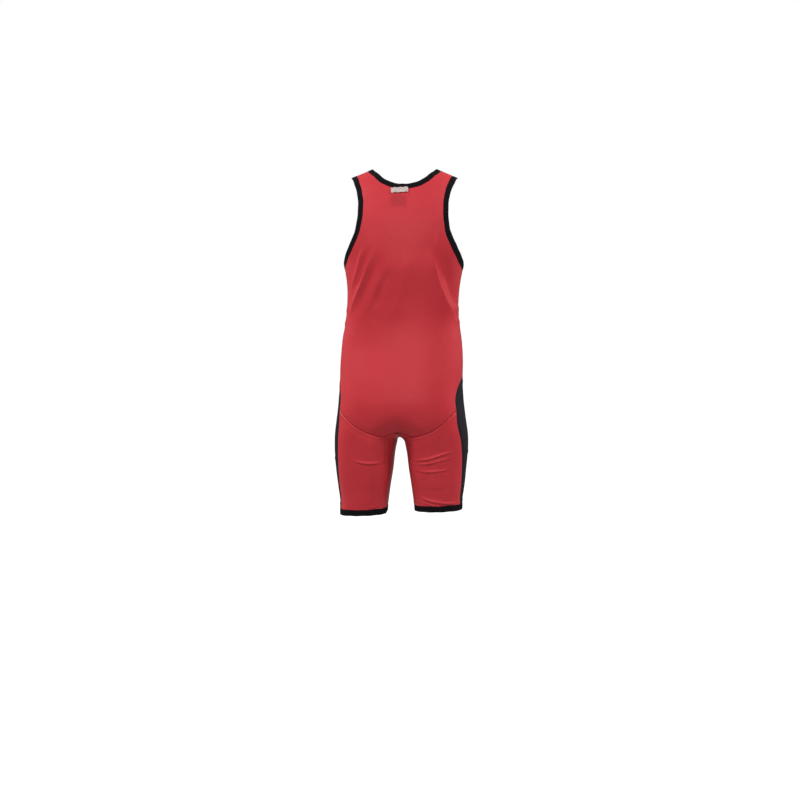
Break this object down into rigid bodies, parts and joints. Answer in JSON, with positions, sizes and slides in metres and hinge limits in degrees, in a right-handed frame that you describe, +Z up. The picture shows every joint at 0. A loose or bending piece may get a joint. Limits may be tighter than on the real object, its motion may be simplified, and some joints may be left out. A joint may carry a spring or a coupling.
{
  "type": "wrestling singlet",
  "caption": "One-piece stretch wrestling singlet in worn shape, hollow, with bound scoop neck, deep armholes, curved seat seam, side leg panels and banded leg hems.",
  "frame": {"origin": "midway between the two shoulder straps, at the height of the neck points where the straps rest on the wearer's shoulders", "axes": "+Z up, from the legs to the shoulders; -Y out of the back of the garment, which the picture shows; +X to the right seen from behind"},
  "size_m": [0.2884, 0.1979, 0.7426],
  "materials": {
    "red_cloth": "smooth red stretch knit with a soft satin sheen",
    "black_cloth": "smooth black stretch knit with a soft satin sheen",
    "black_binding": "folded black stretch binding, topstitched",
    "label_cloth": "woven white label tape, blank"
  },
  "bodies": {
    "root": {"back_panel": "red_cloth", "front_panel": "red_cloth", "back_leg_left": "red_cloth", "back_leg_right": "red_cloth", "side_panel_left": "black_cloth", "side_panel_right": "black_cloth", "neck_binding": "black_binding", "armhole_binding_left": "black_binding", "armhole_binding_right": "black_binding", "hem_binding_left": "black_binding", "hem_binding_right": "black_binding", "neck_label": "label_cloth", "inner_label": "label_cloth"}
  },
  "joints": []
}
